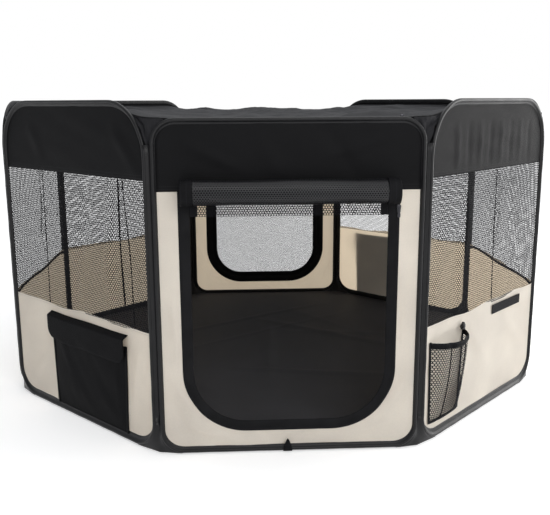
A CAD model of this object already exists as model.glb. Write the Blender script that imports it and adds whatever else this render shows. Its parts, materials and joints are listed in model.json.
"""Soft-sided pet playpen: the cloth, nets, bindings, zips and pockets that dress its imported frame."""
import json
import math

import bpy
import numpy as np
from bpy.props import FloatProperty, FloatVectorProperty, IntProperty, PointerProperty
from mathutils import Matrix, Vector
from numpy import (array, clip, concatenate, cos, exp, linspace, maximum, minimum, sin, sqrt, stack, tan, tile,
                   where)


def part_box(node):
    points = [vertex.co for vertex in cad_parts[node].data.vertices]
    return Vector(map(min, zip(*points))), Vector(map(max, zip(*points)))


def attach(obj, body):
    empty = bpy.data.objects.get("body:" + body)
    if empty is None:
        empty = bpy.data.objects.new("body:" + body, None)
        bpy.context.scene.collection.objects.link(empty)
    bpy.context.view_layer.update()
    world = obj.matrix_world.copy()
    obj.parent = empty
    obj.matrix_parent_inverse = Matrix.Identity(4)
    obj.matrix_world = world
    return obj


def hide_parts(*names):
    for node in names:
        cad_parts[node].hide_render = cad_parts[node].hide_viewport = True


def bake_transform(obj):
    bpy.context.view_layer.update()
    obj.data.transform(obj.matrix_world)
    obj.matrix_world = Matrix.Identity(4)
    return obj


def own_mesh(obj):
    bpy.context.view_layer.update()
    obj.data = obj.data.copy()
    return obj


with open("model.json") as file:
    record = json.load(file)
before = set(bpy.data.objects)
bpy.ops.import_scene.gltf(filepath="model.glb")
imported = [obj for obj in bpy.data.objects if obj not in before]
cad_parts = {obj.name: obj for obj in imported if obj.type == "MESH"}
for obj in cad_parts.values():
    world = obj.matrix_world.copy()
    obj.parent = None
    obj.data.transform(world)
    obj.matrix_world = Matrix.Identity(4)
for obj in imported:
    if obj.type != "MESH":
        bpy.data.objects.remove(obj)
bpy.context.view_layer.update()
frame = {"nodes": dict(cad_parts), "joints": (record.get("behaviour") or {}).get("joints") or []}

bl_info = {
    "name": "Pet playpen",
    "version": (1, 0, 0),
    "blender": (4, 5, 0),
    "location": "View3D > Sidebar > Playpen",
    "description": "Dresses the packed frame of a folding eight-panel pet playpen",
    "category": "Object",
}

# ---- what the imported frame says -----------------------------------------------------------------

PANELS = ("front", "right_front", "right_middle", "right_back",
          "back", "left_back", "left_middle", "left_front")
DOORS = ("front", "back")
OPEN_SEAM = "back"
MAT_LOW, MAT_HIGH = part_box("floor_mat")
MID_Y = (MAT_LOW.y + MAT_HIGH.y) / 2
CORNER = next(joint["pos_m"] for joint in frame["joints"] if joint["name"] == "left_front_fold")
WIDTH = 2 * abs(CORNER[0])
APOTHEM = MID_Y - CORNER[1]
TURN = 2 * math.pi
EIGHTH = TURN / 8


def turn_of(panel):
    """Cosine and sine of a panel's turn: each stands an eighth further round, counterclockwise from the
    front."""
    angle = math.radians(45 * PANELS.index(panel))
    return math.cos(angle), math.sin(angle)


def stand(panel, x, out, z):
    """Panel frame to row frame: x from the left seam, out from the seam line, turned with the panel."""
    c, s = turn_of(panel)
    px, py, pz = np.broadcast_arrays(np.asarray(x, float) - WIDTH / 2, -(APOTHEM + np.asarray(out, float)), z)
    return stack([px * c - py * s, px * s + py * c + MID_Y, pz], -1)


def panel_points(node, panel):
    """A CAD node's vertices in its panel's frame, as columns of x, out and z: the inverse of stand."""
    mesh = frame["nodes"][node].data
    co = np.empty(len(mesh.vertices) * 3)
    mesh.vertices.foreach_get("co", co)
    x, y, z = co.reshape(-1, 3).T
    c, s = turn_of(panel)
    return stack([x * c + (y - MID_Y) * s + WIDTH / 2, x * s - (y - MID_Y) * c - APOTHEM, z], -1)


def panel_box(node, panel):
    """Lowest and highest x, out and z of a CAD node in its panel's frame."""
    co = panel_points(node, panel)
    return co.min(0), co.max(0)


def measured_panel(panel):
    """Side gap, height and corner radii of one panel, read from where the hoop's straight runs end."""
    co = panel_points(panel + "_hoop", panel)
    low, high = co.min(0), co.max(0)
    wire = (high[1] - low[1]) / 2
    skirt, header = panel_box(panel + "_skirt", panel), panel_box(panel + "_header", panel)
    inset = low[2] + wire
    bottom = co[co[:, 2] < low[2] + 1e-5, 0].min() - low[0] - wire
    top = co[co[:, 2] > high[2] - 1e-5, 0].min() - low[0] - wire
    return {
        "gap": low[0] + wire - inset, "height": high[2] - wire + inset, "wire_inset": inset,
        "wire_out": (low[1] + high[1]) / 2, "low_r": bottom + inset, "top_r": top + inset,
        "skirt_top": skirt[1][2], "header_bottom": header[0][2], "cloth": (skirt[0][1] + skirt[1][1]) / 2,
    }


MEASURED = {panel: measured_panel(panel) for panel in PANELS}
ZIP_LOW, ZIP_HIGH = panel_box("front_zip_border", "front")
COVER_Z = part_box("top_cover")[0].z

# ---- settings a user would change ---------------------------------------------------------------


def length_setting(name, description, default, low, high):
    return FloatProperty(name=name, description=description, default=default, min=low, max=high,
                         subtype="DISTANCE", unit="LENGTH")


def colour_setting(name, description, default):
    return FloatVectorProperty(name=name, description=description, default=default, min=0, max=1,
                               subtype="COLOR")


class PlaypenSizes(bpy.types.PropertyGroup):
    """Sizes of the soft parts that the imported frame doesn't fix."""

    binding_width: length_setting("Binding width", "Visible width of a panel's edge binding", 0.012, 0.008, 0.02)
    net_cell: length_setting("Net cell", "Distance between the window net's holes", 0.0046, 0.002, 0.012)
    slack: length_setting("Slack", "How far loose cloth swells from its flat panel", 0.0033, 0.0, 0.006)
    crumple: length_setting("Crumple", "Height of the folds in the top cover", 0.0075, 0.0, 0.012)
    door_corner: length_setting("Door corner", "Radius of the zip border's lower corners", 0.116, 0.06, 0.14)
    zip_width: length_setting("Zip border width", "Width of the tape around each door", 0.020, 0.014, 0.026)
    edging_width: length_setting("Door edging width", "Width of a door leaf's bound edge", 0.014, 0.008, 0.024)
    segments: IntProperty(name="Segments", description="Grid points across a panel of cloth", default=64, min=24,
                          max=120)


class PlaypenColours(bpy.types.PropertyGroup):
    """Colours of the cloths and fittings."""

    black: colour_setting("Black cloth", "Header bands and pockets", (0.0062, 0.0062, 0.0068))
    beige: colour_setting("Beige cloth", "Skirts and door surrounds", (0.82, 0.765, 0.69))
    grey: colour_setting("Top cloth", "Top cover and its corner gussets", (0.016, 0.016, 0.018))
    tape: colour_setting("Binding", "Edge binding, zip tape and straps", (0.0055, 0.0055, 0.0062))
    net: colour_setting("Net", "Yarn of the nets", (0.0075, 0.0075, 0.0090))
    metal: colour_setting("Zip sliders", "Cast metal of the sliders", (0.05, 0.05, 0.055))


# ---- surfaces -----------------------------------------------------------------------------------


def surface(name, points, finish, uv=None, wrap=(False, False), ends=0, thick=0.0, flip=False):
    """A mesh with one quad for each cell of a grid of points. wrap joins the last row or column to the
    first, ends closes a wrapped grid's first row, or both, and thick gives a sheet two faces. A lone end is
    shaded smooth."""
    rows, cols = points.shape[:2]
    i, j = np.arange(rows - 1 + wrap[0])[:, None], np.arange(cols - 1 + wrap[1])[None, :]
    steps = [(0, 0), (0, 1), (1, 1), (1, 0)][::-1 if flip else 1]
    quads = stack([((i + a) % rows) * cols + (j + b) % cols for a, b in steps], -1).reshape(-1, 4)
    lid = np.arange(cols)[::1 if flip else -1]
    loops = concatenate([quads.ravel(), *[lid, (rows - 1) * cols + lid[::-1]][:ends]])
    starts = concatenate([np.arange(len(quads)) * 4, quads.size + cols * np.arange(ends)])
    mesh = bpy.data.meshes.new(name)
    mesh.vertices.add(rows * cols)
    mesh.vertices.foreach_set("co", points.reshape(-1).astype(np.float32))
    mesh.loops.add(len(loops))
    mesh.loops.foreach_set("vertex_index", loops.astype(np.int32))
    mesh.polygons.add(len(starts))
    mesh.polygons.foreach_set("loop_start", starts.astype(np.int32))
    mesh.update(calc_edges=True)
    mesh.polygons.foreach_set("use_smooth", np.arange(len(starts)) < len(quads) + (ends == 1))
    if uv is not None:
        u, v = (np.broadcast_to(a, (rows + wrap[0], cols + wrap[1])) for a in uv)
        flat = stack([stack([u[i + a, j + b], v[i + a, j + b]], -1) for a, b in steps], 2).reshape(-1, 2)
        flat = concatenate([flat, np.zeros((ends * cols, 2))])
        mesh.uv_layers.new(name="UVMap").data.foreach_set("uv", flat.reshape(-1).astype(np.float32))
    mesh.materials.append(finish_named(finish))
    obj = bpy.data.objects.new(name, mesh)
    bpy.context.scene.collection.objects.link(obj)
    mesh.validate()
    if thick:
        solid = obj.modifiers.new("Cloth thickness", "SOLIDIFY")
        solid.thickness, solid.offset = thick, 0.0
    return obj


def dress(obj, body, slot, *nodes):
    """Rides a body, or a panel by its name, and takes the place of CAD nodes."""
    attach(obj, body + "_panel" if body in PANELS else body)
    if nodes:
        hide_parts(*nodes)


def circle(count):
    """Angles once round, evenly spaced."""
    return linspace(0, TURN, count, endpoint=False)


def closing(a):
    """A grid with its first column repeated after its last."""
    return concatenate([a, a[:, :1]], 1)


def running(path):
    """Distance along a path of points, from its start."""
    return concatenate([[0.0], np.cumsum(np.linalg.norm(np.diff(path, axis=0), axis=1))])


def with_mirror(path, total):
    """A path up to the middle line, followed by its mirror image, where x becomes total less x."""
    return concatenate([path, stack([total - path[::-1, 0], path[::-1, 1]], -1)[1:]])


BEAD_ENDS_AT = 0.0072    # how far in from its edge a binding lies flat on the cloth


def swept(name, panel, path, inward, profile, finish, closed=False, swell=0.0, widen=None):
    """A closed profile carried along a path on a panel: each profile point moves inset along the path's
    inward normal and stands at its own distance out. widen moves the inner half of the profile further
    along the path."""
    inset, out = profile.T
    if widen is not None:
        share = clip((inset - BEAD_ENDS_AT) / (inset.max() - BEAD_ENDS_AT), 0, 1)
        inset = inset + widen[:, None] * share
    x = path[:, 0, None] + inward[:, 0, None] * inset
    z = path[:, 1, None] + inward[:, 1, None] * inset
    along = running(concatenate([path, path[:1]]) if closed else path)
    across = closing(profile[None, :, 0])
    return surface(name, stand(panel, x, out + np.reshape(swell, (-1, 1)), z), finish, (along[:, None], across),
                   wrap=(closed, True), ends=0 if closed else 2)


def superellipse(count, c_power, s_power):
    """Cosine and sine once round, each raised to two over its power, which squares the circle up."""
    c, s = cos(circle(count)), sin(circle(count))
    return np.sign(c) * abs(c) ** (2 / c_power), np.sign(s) * abs(s) ** (2 / s_power)


def stacked(name, panel, x, out, z, half_w, half_d, finish, power=2.6, count=28):
    """Superellipse sections stacked along z, each with its own centre and half sizes, closed by flat ends."""
    x, out, z, half_w, half_d = (a[:, None] for a in np.broadcast_arrays(x, out, z, half_w, half_d))
    c, s = superellipse(count, power, power)
    return surface(name, stand(panel, x + half_w * c, out + half_d * s, z), finish,
                   (linspace(0, 0.02, count + 1), z), wrap=(False, True), ends=2, flip=True)


def tube(path, half_side, half_face, count, closed=False):
    """An ellipse carried along a path in a panel's frame: one of its axes stands as near to straight out as
    the path lets it, and the other lies across both."""
    tangent = np.roll(path, -1, 0) - np.roll(path, 1, 0) if closed else np.gradient(path, axis=0)
    tangent /= np.linalg.norm(tangent, axis=1)[:, None]
    face = array([0.0, 1.0, 0.0]) - tangent * tangent[:, 1:2]
    face /= np.linalg.norm(face, axis=1)[:, None]
    a = circle(count)[None, :, None]
    side = np.cross(tangent, face)[:, None]
    return path[:, None] + half_side * cos(a) * side + half_face * sin(a) * face[:, None]


def slack_waves(u, v, seed, amount, waves=7, stretch=(1.0, 1.0)):
    """Slow swells of loose cloth: sines in seeded directions, each finer one weaker, that fade out at all
    edges."""
    rng = np.random.default_rng(seed)
    total = np.zeros(np.broadcast(u, v).shape)
    for k in range(waves):
        fu, fv = rng.uniform(-1, 1, 2) * (1.0 + 0.75 * k) * array(stretch)
        total += sin(TURN * (fu * u + fv * v) + rng.uniform(0, TURN)) / (1 + 0.55 * k)
    return amount * total / 1.8 * clip(16 * u * (1 - u) * v * (1 - v), 0, 1) ** 0.4


def crease(x, z, start, end, depth, width):
    """A straight ridge with a bell-shaped section from start to end, which fades towards both ends."""
    d = np.subtract(end, start)
    t = clip(((x - start[0]) * d[0] + (z - start[1]) * d[1]) / (d @ d), 0.0, 1.0)
    away = np.hypot(x - start[0] - t * d[0], z - start[1] - t * d[1])
    return depth * exp(-((away / width) ** 2)) * sin(math.pi * t) ** 0.6


def quarter(start, count):
    """Unit vectors over the quarter turn that follows an angle in degrees, its end left out."""
    phi = np.radians(linspace(start, start + 90, count, endpoint=False))
    return stack([cos(phi), sin(phi)], -1)


def panel_rim(panel, run=30, turn=18):
    """Once round a panel's outline from its lower left corner, counterclockwise from outside, and the
    inward normals. Straight runs and quarter circles follow each other."""
    m = MEASURED[panel]
    x0, x1, z1, b, t = m["gap"], WIDTH - m["gap"], m["height"], m["low_r"], m["top_r"]
    corners = [(x1 - b, b, b, -90), (x1 - t, z1 - t, t, 0), (x0 + t, z1 - t, t, 90), (x0 + b, b, b, 180)]
    points, inward = [], []
    for k, (cx, cz, r, a) in enumerate(corners):
        px, pz, pr, _ = corners[k - 1]
        face = array([math.cos(math.radians(a)), math.sin(math.radians(a))])
        start, stop = array([px, pz]) + pr * face, array([cx, cz]) + r * face
        arc = quarter(a, turn)
        points += [start + linspace(0, 1, run, endpoint=False)[:, None] * (stop - start), [cx, cz] + r * arc]
        inward += [tile(-face, (run, 1)), -arc]
    return concatenate(points), concatenate(inward)


def side_x(panel, z, inset):
    """Distance of the outline's left side from the left seam at height z, moved inwards by inset."""
    m = MEASURED[panel]

    def at(radius, into):
        share = clip(into / (radius - inset), 0, 1)
        return m["gap"] + radius - (radius - inset) * sqrt(1 - share ** 2)

    low, high = at(m["low_r"], m["low_r"] - z), at(m["top_r"], z - m["height"] + m["top_r"])
    return where(z < m["height"] / 2, low, high)


def heights(panel, low, high, inset, count=34):
    """Heights for a cloth's rows: even on the straight, and closer where a round corner cuts in."""
    m = MEASURED[panel]
    arc = sin(linspace(0, math.pi / 2, 12))
    bottom = m["low_r"] - (m["low_r"] - inset) * arc
    top = m["height"] - m["top_r"] + (m["top_r"] - inset) * arc
    extra = concatenate([bottom, top])
    extra = extra[(extra > low + 0.001) & (extra < high - 0.001)]
    return np.unique(np.round(concatenate([linspace(low, high, count), extra]), 5))


def panel_cloth(panel, piece, node, slot, low, high, out, finish, seed, amount, hem_at, creases, wavy=0.0,
                thick=0.0):
    """One piece of cloth between two heights of a panel. Each row runs from side to side of the
    outline, and the cloth swells by slack_waves and creases. UV is x, and the distance from the hem
    edge, in metres."""
    inset = 0.008
    z = heights(panel, max(low, inset), min(high, MEASURED[panel]["height"] - inset), inset)[:, None]
    left = side_x(panel, z, inset)
    u = linspace(0, 1, bpy.context.scene.playpen_sizes.segments)[None, :]
    v = (z - z[0]) / (z[-1] - z[0])
    x = left + u * (WIDTH - 2 * left)
    swing = wavy * (sin(9.0 * u + seed) + 0.6 * sin(21.0 * u + 2 * seed)) * sin(math.pi * u) ** 0.5
    zz = z + swing * (v if hem_at == "top" else 1 - v) ** 3
    o = out + slack_waves(u, v, seed, amount)
    for start, end, depth, width in creases:
        o = o + crease(x, zz, start, end, 2.3 * depth, width)
    from_hem = z[-1] - z if hem_at == "top" else z - z[0]
    obj = surface(f"{panel}_{piece}", stand(panel, x, o, zz), finish, (x, from_hem), thick=thick)
    dress(obj, panel, slot, f"{panel}_{node}")


# ---- finishes -----------------------------------------------------------------------------------


class Finish:
    """Builds one material: a Principled shader, and short names for the nodes that feed it."""

    def __init__(self, name, colour, roughness, **fixed):
        self.material = bpy.data.materials.new(name)
        self.material.use_nodes = True
        self.tree = self.material.node_tree
        self.shader = self.tree.nodes["Principled BSDF"]
        self.shader.inputs["Base Color"].default_value = (*colour, 1)
        self.shader.inputs["Roughness"].default_value = roughness
        for socket, value in fixed.items():
            self.shader.inputs[socket.replace("_", " ")].default_value = value
        self.coords = self.tree.nodes.new("ShaderNodeTexCoord")

    def put(self, value, socket):
        """Links a socket, or sets a constant."""
        if isinstance(value, bpy.types.NodeSocket):
            self.tree.links.new(value, socket)
        else:
            socket.default_value = value

    def node(self, kind, **values):
        node = self.tree.nodes.new("ShaderNode" + kind)
        for key, value in values.items():
            if key.replace("_", " ") in node.inputs:
                self.put(value, node.inputs[key.replace("_", " ")])
            else:
                setattr(node, key, value)
        return node

    def math(self, operation, *values):
        node = self.node("Math", operation=operation)
        for socket, value in zip(node.inputs, values):
            self.put(value, socket)
        return node.outputs[0]

    def add(self, a, b):
        return self.math("ADD", a, b)

    def times(self, a, b):
        return self.math("MULTIPLY", a, b)

    def wave(self, a, pitch):
        """A sine that repeats every pitch."""
        return self.math("SINE", self.times(a, TURN / pitch))

    def near(self, a, middle, half):
        """One where a lies within half of middle, nought elsewhere."""
        return self.math("LESS_THAN", self.math("ABSOLUTE", self.math("SUBTRACT", a, middle)), half)

    def mixed(self, fac, a, b):
        """a where fac is nought and b where it is one."""
        mix = self.node("Mix", data_type="RGBA")
        for k, value in ((0, fac), (6, a), (7, b)):
            self.put(value, mix.inputs[k])
        return mix.outputs[2]

    def noise(self, scale, detail=3.0):
        place = self.coords.outputs["Object"]
        return self.node("TexNoise", Scale=scale, Detail=detail, Vector=place).outputs["Fac"]

    def split(self, coords="UV"):
        return self.node("SeparateXYZ", Vector=self.coords.outputs[coords]).outputs

    def ramp(self, fac, colour, low, high, at=(0.0, 1.0)):
        """A colour from low to high times itself, across a range of fac."""
        node = self.node("ValToRGB", Fac=fac)
        for element, position, factor in zip(node.color_ramp.elements, at, (low, high)):
            element.position, element.color = position, (*shade(colour, factor), 1)
        return node.outputs[0]

    def paint(self, socket):
        self.put(socket, self.shader.inputs["Base Color"])

    def rough(self, fac, low, high):
        node = self.node("MapRange", Value=fac, To_Min=low, To_Max=high)
        self.put(node.outputs[0], self.shader.inputs["Roughness"])

    def bump(self, height, strength, distance):
        node = self.node("Bump", Strength=strength, Distance=distance, Height=height)
        self.put(node.outputs[0], self.shader.inputs["Normal"])

    def stitches(self, rows, pitch=0.0032, thickness=0.0005):
        """One on thread, nought off it: dashes along u in rows at the given v."""
        u, v, _ = self.split()
        dash = self.math("LESS_THAN", self.math("FRACT", self.math("DIVIDE", u, pitch)), 0.68)
        total = self.near(v, rows[0], thickness)
        for row in rows[1:]:
            total = self.math("MAXIMUM", total, self.near(v, row, thickness))
        return self.times(dash, total)


def shade(colour, factor):
    """A colour times a factor, or times one factor for each channel."""
    return tuple(min(1.0, float(c)) for c in np.multiply(colour, factor))


def woven(name, colour, roughness, specular, yarn=0.0007, rows=(), thread=1.0, sheen=0.0, tint=(1, 1, 1)):
    """Plain-woven cloth: crossing yarns in bump, slow patches of colour, rubbed high spots, and rows of
    stitches."""
    f = Finish(name, colour, roughness, Sheen_Weight=sheen, Sheen_Roughness=0.45, Specular_IOR_Level=specular,
               IOR=1.22)
    u, v, _ = f.split()
    patches = f.noise(9.0, 5.0)
    mottled = f.add(f.times(patches, 0.75), f.times(f.noise(420.0, 2.0), 0.25))
    cloth = f.ramp(mottled, colour, 0.86, np.multiply(tint, 1.12), (0.3, 0.7))
    f.rough(patches, roughness - 0.06, roughness + 0.08)
    weave = f.times(f.wave(u, yarn), f.wave(v, yarn))
    height = f.add(f.times(weave, 0.5), f.times(f.noise(70.0), 1.4))
    if rows:
        thread_on = f.stitches(rows)
        cloth = f.mixed(thread_on, cloth, (*shade(colour, thread), 1))
        height = f.add(height, f.times(thread_on, 2.0))
    f.paint(cloth)
    f.bump(height, 0.35, 0.00025)
    return f


def lit_through(f, colour, share):
    """Thin cloth glows when it is lit from behind: a share of the light that lands on it passes through,
    tinted."""
    through, mix = f.node("BsdfTranslucent", Color=(*colour, 1)), f.node("MixShader", Fac=share)
    f.put(f.shader.outputs[0], mix.inputs[1])
    f.put(through.outputs[0], mix.inputs[2])
    f.put(mix.outputs[0], f.tree.nodes["Material Output"].inputs["Surface"])
    return f


def netting(name, colour, cell, hole, coords="UV", roughness=0.6, specular=0.15, ior=1.2):
    """Warp-knitted net: round holes on a staggered grid are see-through, and yarn is left between them. Two
    square grids, one shifted half a cell, give the distance to the nearest hole's middle."""
    f = Finish(name, colour, roughness, Specular_IOR_Level=specular, IOR=ior)
    u, v, w = f.split(coords)
    v = w if coords == "Object" else v
    away = []
    for shift in (100.0, 100.5):
        a, b = (f.math("SUBTRACT", f.math("FRACT", f.add(f.math("DIVIDE", along, pitch), shift)), 0.5)
                for along, pitch in ((u, cell), (v, cell * math.sqrt(3))))
        b = f.times(b, math.sqrt(3))
        away.append(f.math("SQRT", f.add(f.times(a, a), f.times(b, b))))
    nearest = f.math("MINIMUM", *away)
    f.put(f.math("GREATER_THAN", nearest, hole), f.shader.inputs["Alpha"])
    twist = f.times(f.wave(f.add(u, v), 0.0006), 0.2)
    f.paint(f.ramp(f.add(twist, 0.5), colour, 0.8, 1.5))
    f.bump(f.add(f.times(nearest, 2.0), twist), 0.4, 0.0004)
    return f


TAPE_RIB = 0.0011


def ribbed_tape(name, colour, rows, roughness=0.55, specular=0.22, ior=1.2, coat=0.0):
    """Woven tape: fine ribs along it and rows of stitches."""
    f = Finish(name, colour, roughness, Specular_IOR_Level=specular, IOR=ior,
               Coat_Weight=coat, Coat_Roughness=0.32, Coat_IOR=1.3)
    worn = f.noise(35.0, 4.0)
    thread_on = f.stitches(rows)
    f.paint(f.mixed(thread_on, f.ramp(worn, colour, 0.8, 1.45, (0.3, 0.75)), (*shade(colour, 2.6), 1)))
    f.rough(worn, roughness - 0.08, roughness + 0.1)
    f.bump(f.add(f.times(f.wave(f.split()[0], TAPE_RIB), 0.5), f.times(thread_on, 1.6)), 0.35, 0.00025)
    return f


def zip_coil_tape(name, colour, coil_at, coil_half=0.0024, pitch=0.0013):
    """Zip tape: a raised coil of bright-edged turns at one distance in from the edge, on ribbed tape."""
    f = Finish(name, colour, 0.5, Specular_IOR_Level=0.3, IOR=1.22)
    u, v, _ = f.split()
    on_coil = f.near(v, coil_at, coil_half)
    turns = f.wave(f.add(u, f.times(v, 0.4)), pitch)
    tape = f.ramp(f.noise(40.0), colour, 0.8, 1.4, (0.3, 0.7))
    f.paint(f.mixed(on_coil, tape, f.ramp(turns, colour, 0.5, 3.2)))
    raised = f.times(on_coil, f.add(f.times(turns, 2.0), 3.0))
    f.bump(f.add(raised, f.times(f.wave(u, TAPE_RIB), 0.3)), 0.5, 0.0003)
    return f


def cast_metal(name, colour, roughness=0.34):
    """Zinc casting: brushed, a little dull, with darker specks."""
    f = Finish(name, colour, roughness, Metallic=1.0)
    specks = f.noise(900.0, 4.0)
    f.paint(f.ramp(specks, colour, 0.7, 1.2, (0.35, 0.7)))
    f.rough(f.noise(260.0), roughness - 0.08, roughness + 0.14)
    f.bump(specks, 0.15, 0.0001)
    return f


def moulded_plastic(name, colour, roughness=0.38):
    """Injection-moulded plastic with a fine spark texture."""
    f = Finish(name, colour, roughness)
    spark = f.noise(1400.0)
    f.paint(f.ramp(f.noise(60.0), colour, 0.85, 1.3, (0.3, 0.7)))
    f.rough(spark, roughness - 0.05, roughness + 0.12)
    f.bump(spark, 0.2, 0.00008)
    return f


def loop_pile(name, colour):
    """Hook-and-loop tape: a felted tangle of loops."""
    f = Finish(name, colour, 0.85, Sheen_Weight=0.02, Sheen_Roughness=0.4, IOR=1.2)
    tangle = f.noise(1700.0, 6.0)
    f.paint(f.ramp(tangle, colour, 0.5, 2.0, (0.35, 0.65)))
    f.bump(tangle, 0.8, 0.0007)
    return f


def lit_paper(name):
    """White paper, faintly mottled, that glows a little more the further it lies from the middle."""
    f = Finish(name, (0.93, 0.93, 0.93), 0.9, Specular_IOR_Level=0.1, Emission_Color=(1, 1, 1, 1))
    away = f.node("VectorMath", operation="LENGTH")
    f.put(f.coords.outputs["Object"], away.inputs[0])
    away = away.outputs["Value"]
    glow = f.node("MapRange", Value=away, From_Min=1.6, From_Max=6.0, To_Min=0.36, To_Max=0.72)
    f.put(glow.outputs[0], f.shader.inputs["Emission Strength"])
    f.paint(f.ramp(f.noise(3.0), (1, 1, 1), 0.80, 0.82))
    return f


FINISHES = {}


def finish_named(name):
    """The finish of that name, made once from the colours in the scene's settings."""
    if name not in FINISHES:
        c, s = bpy.context.scene.playpen_colours, bpy.context.scene.playpen_sizes
        black, beige, grey, tape, net = (tuple(x) for x in (c.black, c.beige, c.grey, c.tape, c.net))
        cell = s.net_cell
        makers = {
            "black_cloth": lambda: woven(name, black, 0.55, 0.22, rows=(0.004, 0.009), thread=2.6),
            "pocket_cloth": lambda: woven(name, shade(black, 1.1), 0.62, 0.16, rows=(0.003,), thread=2.4),
            "beige_cloth": lambda: lit_through(
                woven(name, beige, 0.68, 0.25, rows=(0.004,), thread=0.78, sheen=0.05, tint=(1, 1, 0.985)),
                (1.0, 0.83, 0.61), 0.42),
            "grey_cloth": lambda: woven(name, grey, 0.48, 0.35),
            "mat_cloth": lambda: woven(name, shade(black, 8.0), 0.62, 0.4, 0.0008),
            "binding": lambda: ribbed_tape(name, tape, (s.binding_width - 0.0022,), 0.38, 0.5, 1.26, 0.35),
            "strap": lambda: ribbed_tape(name, tape, (0.002, 0.012)),
            "zip_tape": lambda: zip_coil_tape(name, tape, 0.0025),
            "cover_zip": lambda: zip_coil_tape(name, tape, 0.002),
            "window_net": lambda: netting(name, net, cell, 0.358),
            "door_net": lambda: netting(name, shade(net, 1.6), cell * 0.45, 0.325, "Object"),
            "curtain_net": lambda: netting(name, net, cell, 0.36, "Object"),
            "roll_net": lambda: netting(name, shade(net, 1.2), cell, 0.36, "UV", 0.28, 0.6, 1.42),
            "dense_net": lambda: netting(name, net, cell * 0.8, 0.27),
            "pouch_net": lambda: netting(name, net, cell * 1.1, 0.38),
            "slider_metal": lambda: cast_metal(name, tuple(c.metal)),
            "wire": lambda: cast_metal(name, (0.5, 0.5, 0.52), 0.25),
            "lock_plastic": lambda: moulded_plastic(name, shade(tape, 1.4)),
            "loop_pile": lambda: loop_pile(name, shade(tape, 1.3)),
            "paper": lambda: lit_paper(name),
        }
        FINISHES[name] = makers[name]().material
    return FINISHES[name]


# ---- stage --------------------------------------------------------------------------------------


class PLAYPEN_OT_stage(bpy.types.Operator):
    """Camera, pale floor and soft studio lights"""

    bl_idname = "playpen.stage"
    bl_label = "Stage"

    def execute(self, context):
        scene = context.scene
        scene.view_settings.view_transform = "Standard"
        lens = bpy.data.cameras.new("Camera")
        lens.sensor_width, lens.lens = 36.0, 48.9
        lens.clip_start, lens.clip_end = 0.05, 60.0
        camera = bpy.data.objects.new("Camera", lens)
        turn = Matrix.Rotation(-0.0505, 4, "Z") @ Matrix.Rotation(math.pi / 2 - 0.2066, 4, "X")
        turn = turn @ Matrix.Rotation(-0.0048, 4, "Z")
        camera.matrix_world = Matrix.Translation((-0.0908, MID_Y - 1.8708, 0.6362)) @ turn
        scene.collection.objects.link(camera)
        scene.camera = camera
        side = linspace(-40, 40, 3)
        x, y = np.meshgrid(side, side)
        surface("Floor", stack([x, y, 0 * x - 0.0015], -1), "paper")
        self.sky(scene)
        self.softbox(scene, "Right", (2.9, 0.3, 1.0), (0, 0, 0.35), (2.6, 2.0), 66, (1.0, 0.99, 0.975))
        self.softbox(scene, "Front", (0.9, -3.6, 2.3), (0, 0, 0.3), (2.6, 1.8), 78, (1.0, 0.99, 0.98))
        self.softbox(scene, "Top", (0.3, 0.5, 3.2), (0, 0, 0.3), (3.0, 3.0), 50, (1.0, 1.0, 1.0))
        return {"FINISHED"}

    def sky(self, scene):
        """White all round to the eye, and dimmer as a light."""
        scene.world = bpy.data.worlds.new("Studio")
        scene.world.use_nodes = True
        tree = scene.world.node_tree
        seen, lit = tree.nodes["Background"], tree.nodes.new("ShaderNodeBackground")
        path, mix = tree.nodes.new("ShaderNodeLightPath"), tree.nodes.new("ShaderNodeMixShader")
        seen.inputs["Color"].default_value, seen.inputs["Strength"].default_value = (1, 1, 1, 1), 1.0
        lit.inputs["Color"].default_value, lit.inputs["Strength"].default_value = (0.95, 0.97, 1.0, 1), 0.55
        for k, socket in enumerate((path.outputs["Is Camera Ray"], lit.outputs[0], seen.outputs[0])):
            tree.links.new(socket, mix.inputs[k])
        tree.links.new(mix.outputs[0], tree.nodes["World Output"].inputs["Surface"])

    def softbox(self, scene, side, place, aim, size, power, colour):
        """An area light at place, turned to face aim."""
        name = side + " softbox"
        light = bpy.data.lights.new(name, "AREA")
        light.shape, light.size, light.size_y = "RECTANGLE", *size
        light.energy, light.color = power, colour
        obj = bpy.data.objects.new(name, light)
        facing = (Vector(place) - Vector(aim)).to_track_quat("Z", "Y").to_matrix().to_4x4()
        obj.matrix_world = Matrix.Translation(place) @ facing
        scene.collection.objects.link(obj)


# ---- the eight panels ---------------------------------------------------------------------------


def binding_profile(panel, width):
    """Closed section of the folded tape: a round bead over the wire, falling to two thin lips on the
    cloth."""
    m = MEASURED[panel]
    w, c, lip, bead_r = m["wire_inset"], m["wire_out"], m["cloth"], 0.00345
    phi = np.radians(linspace(35, 268, 15))
    bead = stack([w + bead_r * cos(phi), c + bead_r * sin(phi)], -1)
    rest = array([[w + 0.002, c - 0.0034], [w + 0.0048, c - 0.0033], [width - 0.0006, c - 0.0032],
                     [width, lip - 0.0004], [width + 0.0001, lip + 0.0006], [width - 0.0006, lip + 0.0013],
                     [width - 0.0022, lip + 0.0016], [w + 0.0047, lip + 0.0021], [w + 0.0036, c + 0.0009]])
    return concatenate([bead, rest])


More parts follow.
